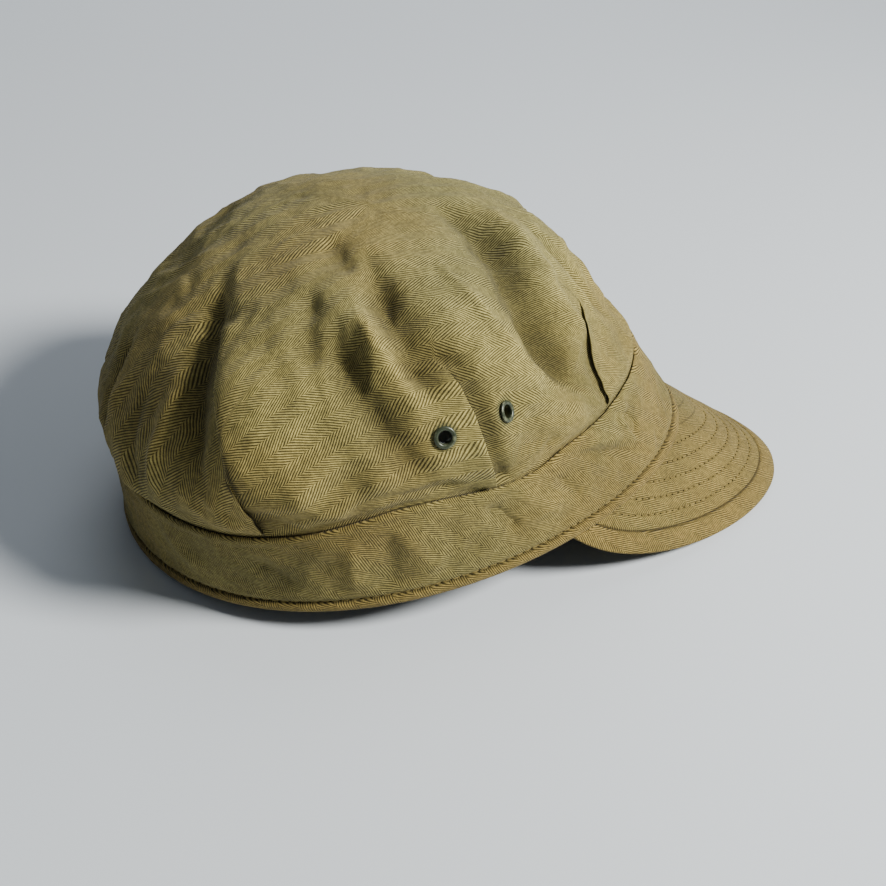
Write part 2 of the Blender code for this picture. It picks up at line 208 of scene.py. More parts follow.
# Dents and creases of the band, along its outer face
BAND_FOLDS = (
    # start angle, height_mm, end angle, height_mm, width_mm, depth_mm
    (-42.2, 30, -40.2, 16, 2.2, 2.2, "sharp"),
    (-39.6, 28.5, -38, 17, 3.6, -3.4),
    (-60, 31.5, -40, 12, 2.8, -1.5),
    (-54, 31, -43, 22, 3.2, 1),
    (-64, 28, -61, 13, 3, -1.4),
    (-80, 30, -76, 14, 4.2, -2.2),
    (-73, 28, -66, 12, 4.5, 1.2),
    (-97, 33, -93, 8, 5.5, 1),
    (-99, 33, -103, 4, 6, -1.5),
    (-106, 30, -109, 8, 5, 1.3),
    (-128, 24, -118, 10, 6, -1.2),
    (-150, 26, -140, 8, 6, 1.1),
    (40, 28, 33, 9, 2.4, 0.7, "sharp"),
    (62, 24, 48, 9, 4, -0.7),
    (82, 26, 74, 10, 5, -0.7),
    (112, 24, 104, 10, 6, -0.6),
    (140, 22, 132, 10, 7, 0.5),
)

# Colours of the threads: light, dark, tan where soiled, and a greener tint of painted cool light from
# above, used towards the top
CLOTH_COLOURS = (
    (0.375, 0.316, 0.102),
    (0.044, 0.036, 0.009),
    (0.402, 0.284, 0.079),
    (0.350, 0.314, 0.118),
)

# Rows of stitches on the peak, by their distance from its outer edge
PEAK_FIRST_ROW_MM = 12.8
PEAK_ROW_PITCH_MM = 5.6
STITCH_ROWS_MM = [PEAK_FIRST_ROW_MM + row * PEAK_ROW_PITCH_MM for row in range(5)]
PEAK_DITCH_MM = 7.4
STITCH_MM = 2.5
STITCH_GAP_MM = 0.7
STITCH_STATIONS = (
    # share of its length, height and thickness as shares of its radius
    (0.0, -0.9, 0.55),
    (0.12, 0.05, 0.9),
    (0.35, 0.42, 1.0),
    (0.65, 0.42, 1.0),
    (0.88, 0.05, 0.9),
    (1.0, -0.9, 0.55),
)

# Camera, at the photograph's angle to the cap
CAMERA_PLACE = (-0.1247, -0.3579, 0.2684)
CAMERA_AZIMUTH = math.radians(-18.16)
CAMERA_ELEVATION = math.radians(33.83)
CAMERA_ROLL = math.radians(5.32)
CAMERA_LENS_MM = 50.0


def smooth_step(value):
    """0 below 0, 1 above 1 and smooth between."""
    share = np.clip(value, 0.0, 1.0)
    return share * share * (3.0 - 2.0 * share)


def bell(offset, width):
    """1 at no offset, falling off on both sides."""
    return np.exp(-(offset / width) ** 2)


def unit(vectors):
    """The same directions with length 1."""
    return vectors / np.maximum(np.linalg.norm(vectors, axis=-1, keepdims=True), 1e-12)


def length_along(line):
    """Distance from the first point of a line to each of its points."""
    return np.concatenate([[0.0], np.cumsum(np.linalg.norm(np.diff(line, axis=0), axis=1))])


def read_rest_place():
    """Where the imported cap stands: from the rim laid level to its tipped place."""
    axis = frame["record"]["mounts"][0]["axis"]
    tip = Matrix.Rotation(-math.asin(axis[0]), 4, "Y")
    band = frame["nodes"]["band"].data
    level = np.array([tip.inverted() @ vertex.co for vertex in band.vertices])
    lowest = level[:, 2].min()
    rim = level[level[:, 2] < lowest + 0.1 * MM]
    middle = (rim.min(0) + rim.max(0)) / 2.0
    return tip @ Matrix.Translation((middle[0], middle[1], lowest))


REST = read_rest_place()


def oval(angle, centre, front, back, half_width):
    """Level oval that is narrower at the front, as arrays of x and y."""
    reach = np.where(np.cos(angle) > 0.0, front, back)
    taper = 1.0 - NARROWER_FRONT * np.cos(angle)
    return centre + reach * np.cos(angle), half_width * np.sin(angle) * taper


def band_edge_height(angle):
    """Height of the band's top edge."""
    table = np.array(BAND_EDGE)
    degrees = np.degrees(np.abs(np.arctan2(np.sin(angle), np.cos(angle))))
    total = 0.0
    spread = (-2.0, -1.0, 0.0, 1.0, 2.0)
    for shift in spread:
        total = total + np.interp(np.abs(degrees + shift), table[:, 0], table[:, 1])
    return total / len(spread) * MM


def band_surface(angle, share, inset):
    """Points of the band's outer face, moved in by the inset."""
    front = RIM_HALF_LENGTH + (BAND_TOP_FRONT_LENGTH - RIM_HALF_LENGTH) * share - inset
    back = RIM_HALF_LENGTH + (BAND_TOP_BACK_LENGTH - RIM_HALF_LENGTH) * share - inset
    half_width = RIM_HALF_WIDTH + (BAND_TOP_HALF_WIDTH - RIM_HALF_WIDTH) * share - inset
    x, y = oval(angle, -BAND_TOP_SETBACK * share, front, back, half_width)
    return np.stack([x, y, band_edge_height(angle) * share], -1)


def blend_rows(table, places):
    """Read a table between its rows with smooth curves."""
    table = np.array(table)
    last = len(table) - 1
    first = np.clip(np.floor(places).astype(int), 0, last - 1)
    share = (places - first)[:, None]
    before = table[np.maximum(first - 1, 0)]
    low = table[first]
    high = table[first + 1]
    after = table[np.minimum(first + 2, last)]
    slope_in = (high - before) * 0.5
    slope_out = (after - low) * 0.5
    cubic = 2.0 * (low - high) + slope_in + slope_out
    square = 3.0 * (high - low) - 2.0 * slope_in - slope_out
    return ((cubic * share + square) * share + slope_in) * share + low


def crown_surface(angle, places):
    """Smooth crown. Angle has a row for each place. Places run from -1 at the skirt's edge, over 0 at
    the seam, to one past the last section at the apex."""
    last = len(CROWN_SECTIONS) - 1.0
    values = blend_rows(CROWN_SECTIONS, np.clip(places, 0.0, last))
    past = np.clip(places - last, 0.0, 1.0)[:, None]
    height, front, back, width = [column[:, None] for column in values.T]
    height = height + (1.0 - height) * (1.0 - (1.0 - past) ** 2) * (past > 0.0)
    shrink = 1.0 - past
    x, y = oval(
        angle,
        0.0,
        front * shrink * (BAND_TOP_FRONT_LENGTH - CROWN_INSET),
        back * shrink * (BAND_TOP_BACK_LENGTH - CROWN_INSET),
        width * shrink * (BAND_TOP_HALF_WIDTH - CROWN_INSET),
    )
    x = x - BAND_TOP_SETBACK + past * APEX_SHIFT * BAND_TOP_FRONT_LENGTH
    uneven = band_edge_height(angle) - BAND_HEIGHT
    z = BAND_HEIGHT + CROWN_RISE * height + uneven * (1.0 - height) ** 2
    points = np.stack([x, y, z], -1)
    below = np.clip(-places, 0.0, 1.0)[:, None]
    skirt = band_surface(angle, 1.0 - below * CROWN_SKIRT / BAND_HEIGHT, CROWN_INSET)
    return np.where(places[:, None, None] < 0.0, skirt, points)


def grid_normals(points, closed):
    """Outward directions of a grid with rows that run up and columns that run to the wearer's left."""
    if closed:
        around = np.roll(points, -1, 1) - np.roll(points, 1, 1)
    else:
        around = np.gradient(points, axis=1)
    upward = np.gradient(points, axis=0)
    return unit(np.cross(around, upward))


def fold_shape(kind, distance, width):
    """Height of a fold's section at a signed distance from its line, 1 at its crest."""
    far = np.abs(distance) / width
    if kind == "round":
        return np.exp(-(far * 1.5) ** 1.7)
    if kind == "sharp":
        return np.exp(-far * 1.8) * (1.0 - np.exp(-far * 9.0) * 0.25)
    return np.tanh(distance / (0.12 * width)) * np.exp(-far * 1.5)


def add_fold(points, normals, path, width_mm, depth_mm, kind="round"):
    """Height that one fold adds at each point. Path is a run of points over the cloth."""
    best = np.full(points.shape[:-1], np.inf)
    side = np.zeros_like(best)
    place = np.zeros_like(best)
    pieces = len(path) - 1
    for index in range(pieces):
        start = path[index]
        along = path[index + 1] - start
        length_squared = along @ along
        offset = points - start
        share = np.clip(offset @ along / length_squared, 0.0, 1.0)
        away = offset - share[..., None] * along
        distance = np.linalg.norm(away, axis=-1)
        closer = distance < best
        best = np.where(closer, distance, best)
        turn = np.einsum("...i,...i->...", np.cross(along, offset), normals)
        side = np.where(closer, np.sign(turn), side)
        place = np.where(closer, (index + share) / pieces, place)
    fade = smooth_step(place * 2.6 + 0.12) * smooth_step((1.0 - place) * 3.6 + 0.15)
    width = width_mm * MM * (0.5 + 0.5 * fade)
    return depth_mm * MM * fade * fold_shape(kind, best * side, width)


def curve_through(start, middle, end, steps):
    """Rows of numbers along a smooth curve through three rows."""
    pull = 2.0 * middle - (start + end) / 2.0
    share = np.linspace(0.0, 1.0, steps + 1)[:, None]
    return (1.0 - share) ** 2 * start + 2.0 * share * (1.0 - share) * pull + share ** 2 * end


def places_at_heights(heights):
    """Places in the crown's sections where height shares are reached."""
    places = np.linspace(0.0, len(CROWN_SECTIONS) - 1.0, 400)
    reached = blend_rows(CROWN_SECTIONS, places)[:, 0]
    return np.interp(heights, reached, places)


def crown_path(row):
    """The line of one fold over the smooth crown."""
    corners = np.array(row, float).reshape(3, 2)
    line = curve_through(corners[0], corners[1], corners[2], 8)
    angle = np.radians(line[:, :1])
    points = crown_surface(angle, places_at_heights(np.maximum(line[:, 1], 0.0)))[:, 0]
    points[:, 2] += np.minimum(line[:, 1], 0.0) * CROWN_RISE
    return points


def rumple(points, size_mm, seed):
    """Smooth random heights from -1 to 1 over the cloth, at a typical size."""
    scale = 1.0 / (size_mm * MM)
    shift = Vector((seed, seed * 0.7, seed * 1.3))
    flat = points.reshape(-1, 3) * scale
    values = [noise.noise(Vector(point) + shift) for point in flat.tolist()]
    return np.array(values).reshape(points.shape[:-1])


def crumple(points, size_mm, seed):
    """Random heights with narrow raised creases, about 0 in the mean."""
    bend = rumple(points, size_mm * 1.7, seed + 5.0)[..., None] * size_mm * MM
    return 0.55 - 2.4 * np.abs(rumple(points + bend * 0.5, size_mm, seed))


def grid_faces(rows, columns, closed, first=0):
    """Quads of a grid of points numbered row by row."""
    steps = columns if closed else columns - 1
    row, column = np.meshgrid(np.arange(rows - 1), np.arange(steps), indexing="ij")
    after = (column + 1) % columns
    low = row * columns
    high = low + columns
    corners = (low + column, low + after, high + after, high + column)
    return (np.stack(corners, -1).reshape(-1, 4) + first).tolist()


def link_object(name, data):
    """A new object in the scene."""
    item = bpy.data.objects.new(name, data)
    bpy.context.scene.collection.objects.link(item)
    return item


def new_object(name, points, faces, attributes, material):
    """A smooth mesh in the place where the cap stands, with named values on its corners."""
    mesh = bpy.data.meshes.new(name)
    mesh.from_pydata(points.reshape(-1, 3).tolist(), [], faces)
    for key, values in attributes.items():
        flat = np.asarray(values, np.float32)
        kind, field = ("FLOAT_VECTOR", "vector") if flat.ndim == 2 else ("FLOAT", "value")
        mesh.attributes.new(key, kind, "POINT").data.foreach_set(field, flat.ravel())
    mesh.transform(REST)
    mesh.materials.append(material)
    mesh.shade_smooth()
    mesh.update()
    return link_object(name, mesh)


def crown_base_angles():
    """Columns of the crown, closer together at the pleats."""
    fine = np.radians(np.linspace(-180.0, 180.0, 7201))
    weight = np.ones_like(fine)
    for row in PLEATS:
        for side in (-1.0, 1.0):
            away = np.degrees(fine) - side * row[0]
            weight += 5.0 * bell(away, 1.6) + 1.5 * bell(away, 5.0)
    total = np.concatenate([[0.0], np.cumsum((weight[1:] + weight[:-1]) / 2.0)])
    wanted = np.arange(CROWN_COLUMNS) / CROWN_COLUMNS * total[-1]
    return np.interp(wanted, total, fine)


def pleat_lines(heights):
    """For each pleat on both sides: its seam angle, and its angle at each height share."""
    lines = []
    for row in PLEATS:
        seam, low, low_height, high, high_height, top, top_height = row[:7]
        angle = np.interp(heights, (0.0, low_height, high_height, top_height), (seam, low, high, top))
        fade = 1.0 - smooth_step((heights - top_height) / (1.0 - top_height))
        angle = seam + (angle - seam) * fade
        for side in (-1.0, 1.0):
            lines.append((side, math.radians(side * seam), np.radians(side * angle), row))
    return sorted(lines, key=lambda line: line[1])


def bend_columns(base, heights):
    """Angles of the crown's columns, bent so that a column runs along each pleat."""
    lines = pleat_lines(heights)
    anchors = np.array([line[1] for line in lines])
    shifts = np.array([line[2] - line[1] for line in lines])
    seam_angles = np.concatenate([[-math.pi], anchors, [math.pi]])
    still = np.zeros((1, len(heights)))
    all_shifts = np.concatenate([still, shifts, still])
    return np.array([base + np.interp(base, seam_angles, row) for row in all_shifts.T])


def pleat_offsets(base, heights, rise):
    """How far the pleats move the cloth round the crown and out of it, how they turn the weave, and
    where shade is painted in their gaps and beside their lips.
    """
    around = np.zeros((len(heights), len(base)))
    outward = np.zeros_like(around)
    turn = np.zeros_like(around)
    crease_shade = np.zeros_like(around)
    fade = (1.0 - smooth_step((heights - 0.06) / 0.80))[:, None]
    total_turn = 0.0
    edge = PLEAT_EDGE_MM
    for side, seam, _, row in pleat_lines(heights):
        top_height, laps, lift, lap, degrees, gap, hollow, fading = row[6:14]
        laps = laps if side < 0.0 else -laps
        strength = 1.0 - smooth_step((heights - top_height + fading) / (fading + 0.02))
        strength = strength[:, None] * smooth_step((rise - 0.4) / 3.2)
        place = laps * (base - seam) * CROWN_RADIUS_MM
        over = smooth_step((place + 7.5) / (7.5 - edge)) * (place < -edge)
        under = (1.0 - smooth_step((place - edge) / 5.0)) * (place > edge)
        inside = (np.abs(place) <= edge) * 1.0
        through = np.clip((place + edge) / (2.0 * edge), 0.0, 1.0)
        around += strength * laps * lap * (over + inside * np.cos(math.pi * through) - under)
        sunk = PLEAT_SINK_MM + gap * bell(place - edge, 1.5)
        wall = lift * (1.0 - through) - (PLEAT_SINK_MM + gap) * through
        outward += strength * (lift * over + inside * wall - sunk * under)
        outward -= strength * hollow * bell(place - 3.2, 2.6) * (place > 0.0)
        # Painted shade in each pleat's gap and, where the panel behind laps over, a painted shadow in
        # front of its lip
        crease_shade += strength * bell(place - 0.2, 0.6)
        if laps * side < 0.0:
            shadow = bell(place - 2.2, 0.7) + 0.42 * bell(place - 3.8, 2.2)
            crease_shade += strength * shadow * (0.3 + 0.7 * smooth_step((heights - 0.2) / 0.15))[:, None]
        step = smooth_step((base - seam) * CROWN_RADIUS_MM / (2.0 * edge) + 0.5) - (seam < 0.0)
        turn += math.radians(degrees) * fade * step
        total_turn += math.radians(degrees)
    turn -= fade * base * total_turn / math.tau
    from_front = np.degrees(np.abs(base))
    slant = smooth_step((from_front - 38.0) / 26.0) * (1.0 - smooth_step((from_front - 132.0) / 44.0))
    turn += WEAVE_SLANT * slant * np.sign(base)
    return around * MM, outward * MM, turn, crease_shade


def eyelet_frames():
    """Centre and outward direction of each packed eyelet, with the rim level."""
    frames = {}
    level = REST.inverted()
    for name, node in frame["nodes"].items():
        if not name.startswith("eyelet"):
            continue
        points = np.array([level @ vertex.co for vertex in node.data.vertices])
        centre = (points.min(0) + points.max(0)) / 2.0
        _, _, axes = np.linalg.svd(points - points.mean(0))
        outward = axes[2] * np.sign(axes[2] @ (centre - np.array((0.0, 0.0, centre[2]))))
        highest = max((points - centre) @ outward)
        seen = outward
        if name.endswith("front"):
            lean = Matrix.Rotation(-EYELET_LEAN * np.sign(centre[1]), 3, "Z")
            seen = np.array(lean @ Vector(outward))
        frames[name] = (centre + outward * highest, seen)
    return frames


EYELETS = eyelet_frames()


def crown_folds(smooth, normals, heights):
    """How far the folds, dents and slack of the crown move its cloth out."""
    folds = np.zeros(smooth.shape[:2])
    for row in RIGHT_FOLDS + LEFT_FOLDS:
        folds += add_fold(smooth, normals, crown_path(row[:6]), *row[6:])
    calm = 1.0 - 0.6 * smooth_step((heights - 0.80) / 0.15)[:, None]
    folds += rumple(smooth, 26.0, 3.0) * 0.6 * MM * calm
    folds += rumple(smooth, 10.0, 7.0) * 0.50 * MM * calm
    folds += rumple(smooth, 4.6, 13.0) * 0.16 * MM
    folds += crumple(smooth, 17.0, 51.0) * 0.85 * MM * calm
    folds += crumple(smooth, 8.0, 57.0) * 0.34 * MM
    return folds


def press_eyelets(points):
    """Flatten the cloth under each eyelet. Returns its points and how stained each is."""
    stain = np.zeros(points.shape[:2])
    for centre, direction in EYELETS.values():
        offset = points - (centre - direction * EYELET_STANDS)
        above = offset @ direction
        flat = np.linalg.norm(offset - above[..., None] * direction, axis=-1)
        press = 1.0 - smooth_step((flat - 0.55 * EYELET_SEAT) / EYELET_SEAT)
        press = press * (np.abs(above) < 3.0 * EYELET_SEAT)
        points = points - direction * (above * press)[..., None]
        stain += bell(flat - EYELET_RADIUS, 0.8 * MM) * press
    return points, stain


def crown_faces(rows, columns, inner_rows, inner_columns):
    """Both faces of the crown, the tip of each and the edge between them."""
    first_inner = rows * columns
    tip = first_inner + inner_rows * inner_columns
    faces = grid_faces(rows, columns, True)
    faces += [face[::-1] for face in grid_faces(inner_rows, inner_columns, True, first_inner)]
    top = first_inner - columns
    faces += [[top + k, top + (k + 1) % columns, tip] for k in range(columns)]
    top = tip - inner_columns
    faces += [[top + (k + 1) % inner_columns, top + k, tip + 1] for k in range(inner_columns)]
    for k in range(inner_columns):
        outer = [(INNER_STEP * k + step) % columns for step in range(INNER_STEP + 1)]
        faces.append([first_inner + k, first_inner + (k + 1) % inner_columns] + outer[::-1])
    return faces


def make_crown(material):
    """The crown: a dense outer face with its pleats and folds, and a plainer inner face."""
    base = crown_base_angles()
    last = len(CROWN_SECTIONS) - 1
    low = [-1.0, -0.75, -0.5, -0.25, -0.12]
    steps = last * CROWN_STEPS
    middle = [step / CROWN_STEPS for step in range(steps + 1)]
    near_seam = [0.04, 0.13, 0.22, 0.32]
    top = [last + share for share in (0.12, 0.24, 0.36, 0.48, 0.60, 0.72, 0.83, 0.92, 0.985)]
    places = np.array(sorted(low + middle + near_seam + top))
    heights = np.clip(np.interp(places, np.arange(last + 1), np.array(CROWN_SECTIONS)[:, 0]), 0.0, 1.0)
    angles = bend_columns(base, heights)
    smooth = crown_surface(angles, places)
    normals = grid_normals(smooth, True)
    tangent = unit(np.cross(UP, normals))
    rise = (smooth[..., 2] - band_edge_height(angles)) / MM
    around, outward, turn, crease_shade = pleat_offsets(base, heights, rise)
    over_seam = bell(rise - 3.4, 2.4) * (rise > 0.0) * 0.5 * MM
    moved = crown_folds(smooth, normals, heights) * smooth_step((rise - 0.2) / 6.0) + over_seam
    relief = (moved + outward) / MM
    points = smooth + normals * (moved + outward)[..., None] + tangent * around[..., None]
    points, stain = press_eyelets(points)

    arc = np.linalg.norm(np.diff(smooth, axis=0), axis=-1)
    from_tip = np.concatenate([np.cumsum(arc[::-1], 0)[::-1], np.zeros((1, len(base)))])
    from_tip += CROWN_TIP_RADIUS
    weave = angles + turn
    cloth = np.stack([from_tip * np.cos(weave), from_tip * np.sin(weave), 0.0 * weave], -1)

    # The inner face keeps clear of the deepest place of the outer one close by
    sunken = moved + np.minimum(outward, 0.0)
    lowest = np.einsum("...i,...i->...", points - smooth - tangent * around[..., None], normals)
    for shift in range(-6, 7, 2):
        lowest = np.minimum(lowest, np.roll(sunken, shift, 1))
    inner = (smooth + normals * (lowest - CLOTH_WALL)[..., None])[::INNER_STEP, ::INNER_STEP]
    inner_cloth = cloth[::INNER_STEP, ::INNER_STEP]
    inner_size = inner.shape[0] * inner.shape[1]
    tips = [points[-1].mean(0) + UP * (0.02 * MM), inner[-1].mean(0)]
    all_points = np.concatenate([points.reshape(-1, 3), inner.reshape(-1, 3), tips])
    faces = crown_faces(*relief.shape, *inner.shape[:2])
    plain = np.zeros(inner_size + 2)
    attributes = {
        "cloth": np.concatenate([cloth.reshape(-1, 3), inner_cloth.reshape(-1, 3), np.zeros((2, 3))]),
        "relief": np.concatenate([relief.ravel(), np.full(inner_size, -1.0), np.zeros(2)]),
        # Painted shade of the pleats' gaps and lips
        "crease_shade": np.concatenate([np.clip(crease_shade, 0.0, 1.0).ravel(), plain]),
        "stain": np.concatenate([np.clip(stain, 0.0, 1.0).ravel(), plain]),
    }
    crown = new_object("crown_cloth", all_points, faces, attributes, material)
    open_eyelet_holes(crown)
    return crown


def open_eyelet_holes(crown):
    """Cut the cloth away inside each eyelet."""
    maker = bmesh.new()
    maker.from_mesh(crown.data)
    turn = REST.to_3x3()
    gone = []
    for centre, direction in EYELETS.values():
        middle = REST @ Vector(centre)
        axis = turn @ Vector(direction)
        for face in maker.faces:
            offset = face.calc_center_median() - middle
            along = offset.dot(axis)
            if abs(along) < 0.006 and (offset - axis * along).length < EYELET_HOLE + 1.1 * EYELET_METAL:
                gone.append(face)
    bmesh.ops.delete(maker, geom=gone, context="FACES")
    maker.to_mesh(crown.data)
    maker.free()


def make_band(material):
    """The band: an outer face with its hem and groove, a rounded top edge and a plain inner face."""
    angle = np.linspace(-math.pi, math.pi, BAND_COLUMNS, endpoint=False)
    edge = band_edge_height(angle) / MM
    section = [("hem", step / 8.0) for step in range(9)]
    section += [("body", step / 34.0) for step in range(35)]
    section += [("top", step / 6.0) for step in range(1, 7)]
    section += [("inner", share) for share in (0.93, 0.80, 0.6, 0.4, 0.2, 0.06, 0.0)]
    round_from = edge - BAND_TOP_ROUND_MM
    groove = HEM_HEIGHT_MM + HEM_GROOVE_MM
    rows = []
    for kind, value in section:
        if kind == "hem":
            roll = math.pi * (value - 0.5)
            height = np.full_like(angle, HEM_HEIGHT_MM / 2.0 * (1.0 + math.sin(roll)))
            inset = np.full_like(angle, HEM_GROOVE_MM - HEM_FULLNESS_MM * math.cos(roll) ** 0.8)
        elif kind == "body":
            height = groove + (round_from - groove) * value
            above = height - groove
            inset = 0.55 * bell(above, 0.7) - 0.25 * bell(above - 2.6, 1.6)
            inset += 0.16 * bell(round_from - 2.0 - height, 0.6)
        elif kind == "top":
            turn = value * math.pi / 2.0
            height = round_from + BAND_TOP_ROUND_MM * math.sin(turn)
            inset = np.full_like(angle, 1.25 * (1.0 - math.cos(turn)))
        else:
            height = edge * value
            inset = np.full_like(angle, BAND_WALL / MM)
        rows.append((height, inset))
    height_mm, inset_mm = np.moveaxis(np.array(rows), 1, 0)
    points = band_surface(angle, height_mm / edge, inset_mm * MM)
    normals = grid_normals(points, True)
    flat_out = unit(points * LEVEL)
    kinds = np.array([kind for kind, _ in section])[:, None]
    outer = np.isin(kinds, ("body", "top"))
    hem = kinds == "hem"
    centre = band_surface(angle, 0.5, 0.0)
    offset = np.zeros(points.shape[:2])
    for start, start_height, end, end_height, *form in BAND_FOLDS:
        along = np.radians(np.linspace(start, end, 7))
        rise = np.linspace(start_height, end_height, 7)
        path = band_surface(along, rise * MM / band_edge_height(along), 0.0)
        offset += add_fold(points, normals, path, *form)
    offset += rumple(points, 17.0, 21.0) * 0.70 * MM
    offset += rumple(points, 6.0, 23.0) * 0.30 * MM
    offset += crumple(points, 11.0, 61.0) * 0.40 * MM
    free = smooth_step((height_mm - 4.2) / 5.0)
    free *= 1.0 - 0.75 * smooth_step((height_mm - edge + 4.0) / 3.0)
    pucker = rumple(points * LEVEL, 3.4, 31.0) * 0.22 * MM
    near_hem = bell(height_mm - 5.4, 1.6)
    points = points + flat_out * (offset * free * outer + pucker * near_hem * outer)[..., None]
    points = points + flat_out * (pucker * 0.45 * hem * (inset_mm < 0.0))[..., None]
    along = length_along(centre[:, :2])
    along = along - along[BAND_COLUMNS // 2]
    along, down = np.broadcast_arrays(along, -height_mm.mean(1)[:, None] * MM)
    cosine, sine = math.cos(BAND_BIAS), math.sin(BAND_BIAS)
    cloth = np.stack([along * cosine + down * sine, down * cosine - along * sine, 0.0 * along], -1)
    relief = np.where(outer, offset / MM, 0.0)
    columns = BAND_COLUMNS
    faces = grid_faces(len(rows), columns, True)
    last = (len(rows) - 1) * columns
    faces += [[last + k, last + (k + 1) % columns, (k + 1) % columns, k] for k in range(columns)]
    attributes = {
        "cloth": cloth.reshape(-1, 3),
        "relief": relief.ravel(),
        # Painted shade in the groove above the hem
        "crease_shade": (bell(height_mm - HEM_HEIGHT_MM - 0.2, 0.4) * (inset_mm > -0.3)).ravel(),
        "worn": (1.0 - smooth_step((height_mm - 3.4) / 1.2)).ravel(),
    }
    return new_object("band_cloth", points, faces, attributes, material)


def peak_droop(span):
    """How steeply the peak falls, from its middle to its sides."""
    return PEAK_DROOP + (PEAK_SIDE_DROOP - PEAK_DROOP) * span * span


def peak_surface(across, outward):
    """Points of the peak's upper face."""
    span = np.sin(across)
    angle = PEAK_SPAN * span
    root = band_surface(angle, 0.0, 0.0)
    nudge = 0.001
    run = band_surface(angle + nudge, 0.0, 0.0) - band_surface(angle - nudge, 0.0, 0.0)
    square = unit(np.stack([run[..., 1], -run[..., 0], 0.0 * span], -1))
    heading = unit(square * (1.0 - PEAK_FORWARD) + np.array((PEAK_FORWARD, 0.0, 0.0)))
    length = PEAK_LENGTH * np.cos(across) ** (2.0 * PEAK_SWEEP) * outward
    droop = peak_droop(span)
    drop = np.sin(droop) * length + 0.4 * MM
    return root + heading * (np.cos(droop) * length)[..., None] - drop[..., None] * UP


def distance_to_line(points, line):
    """Distance of each point to the nearest of a line's points, of which every second is used."""
    best = np.full(points.shape[:-1], np.inf)
    for end in line[::2]:
        best = np.minimum(best, np.linalg.norm(points - end, axis=-1))
    return best


def peak_relief(edge_mm):
    """Height of the peak's quilting in millimetres."""
    flange = 0.55 * np.sin(math.pi * np.clip(edge_mm / PEAK_DITCH_MM, 0.0, 1.0)) ** 0.6
    ditch = -0.75 * bell(edge_mm - PEAK_DITCH_MM, 0.42)
    rows = 0.0 * edge_mm
    for distance in STITCH_ROWS_MM:
        rows -= 0.42 * bell(edge_mm - distance, 0.60)
    return flange + ditch + rows


def make_peak(material):
    """The peak: a quilted upper face, tucked under the hem, a rolled outer edge and an under face."""
    across = np.linspace(-PEAK_END, PEAK_END, PEAK_COLUMNS)
    span = np.sin(across)
    upper = peak_surface(*np.meshgrid(across, np.linspace(0.0, 1.0, PEAK_ROWS)))
    normals = -grid_normals(upper, False)
    if normals[PEAK_ROWS // 2, PEAK_COLUMNS // 2, 2] < 0.0:
        normals = -normals
    edge_mm = distance_to_line(upper, upper[-1]) / MM
    root_mm = distance_to_line(upper, upper[0]) / MM
    relief = peak_relief(edge_mm)
    swell = rumple(upper, 24.0, 41.0) * 0.5 + rumple(upper, 8.0, 43.0) * 0.18
    swollen = relief + swell * smooth_step(root_mm / 5.0)
    lifted = upper + normals * (swollen * MM)[..., None]
    half = PEAK_WALL / 2.0
    outward_run = unit(upper[-1] - upper[-2])
    round_rows = []
    for step in range(1, 8):
        turn = math.pi * step / 8.0
        shift = half * math.sin(turn)
        down = half * (1.0 - math.cos(turn))
        round_rows.append(upper[-1] + outward_run * shift - normals[-1] * down)
    lower = upper - normals * PEAK_WALL
    lower = lower + normals * (-0.6 * relief * MM * (edge_mm > 1.0))[..., None]
    lower = lower[::-1][::2]
    tucked = band_surface(PEAK_SPAN * span, 0.0, PEAK_TUCK) - UP * (0.05 * MM)
    points = np.concatenate([tucked[None], lifted, np.array(round_rows), lower])
    rows, columns = points.shape[:2]
    faces = grid_faces(rows, columns, False)
    last_row = (rows - 1) * columns
    faces += [[last_row + k, last_row + k + 1, k + 1, k] for k in range(columns - 1)]
    faces.append([row * columns for row in range(rows)])
    faces.append([row * columns + columns - 1 for row in range(rows)][::-1])
    droop = peak_droop(span)
    step_x, step_y = np.gradient(upper[0, :, 0]), np.gradient(upper[0, :, 1])
    weft = np.cumsum(np.hypot(step_x * np.sin(droop), step_y))
    warp = np.cumsum(step_x * np.cos(droop)) + np.linalg.norm(points - upper[0], axis=-1)
    cloth = np.stack([warp, np.broadcast_to(weft, warp.shape), 0.0 * warp], -1)
    rim = np.zeros((len(round_rows), columns))
    edge_all = np.concatenate([edge_mm[:1], edge_mm, rim, edge_mm[::-1][::2]])
    relief_all = np.concatenate([relief[:1], swollen, rim, np.zeros((len(lower), columns))])
    attributes = {
        "cloth": cloth.reshape(-1, 3),
        "relief": relief_all.ravel(),
        "edge": edge_all.ravel(),
        "worn": (1.0 - smooth_step((edge_all - 6.5) / 1.6)).ravel(),
    }
    peak = new_object("peak_cloth", points, faces, attributes, material)
    maker = bmesh.new()
    maker.from_mesh(peak.data)
    bmesh.ops.recalc_face_normals(maker, faces=maker.faces)
    maker.to_mesh(peak.data)
    maker.free()
    return peak, lifted, normals, edge_mm


def row_line(surface, field, value):
    """The line over a grid where a field that changes along its rows takes a value."""
    line = []
    for column in range(surface.shape[1]):
        values = field[:, column]
        crossing = np.nonzero((values[:-1] - value) * (values[1:] - value) <= 0.0)[0]
        if len(crossing) == 0:
            continue
        row = crossing[-1]
        share = (value - values[row]) / (values[row + 1] - values[row] + 1e-12)
        line.append(surface[row, column] * (1.0 - share) + surface[row + 1, column] * share)
    return np.array(line)


def read_along(place, run, rows):
    """Read rows of three numbers at a distance along their line."""
    return np.array([np.interp(place, run, rows[:, k]) for k in range(3)])


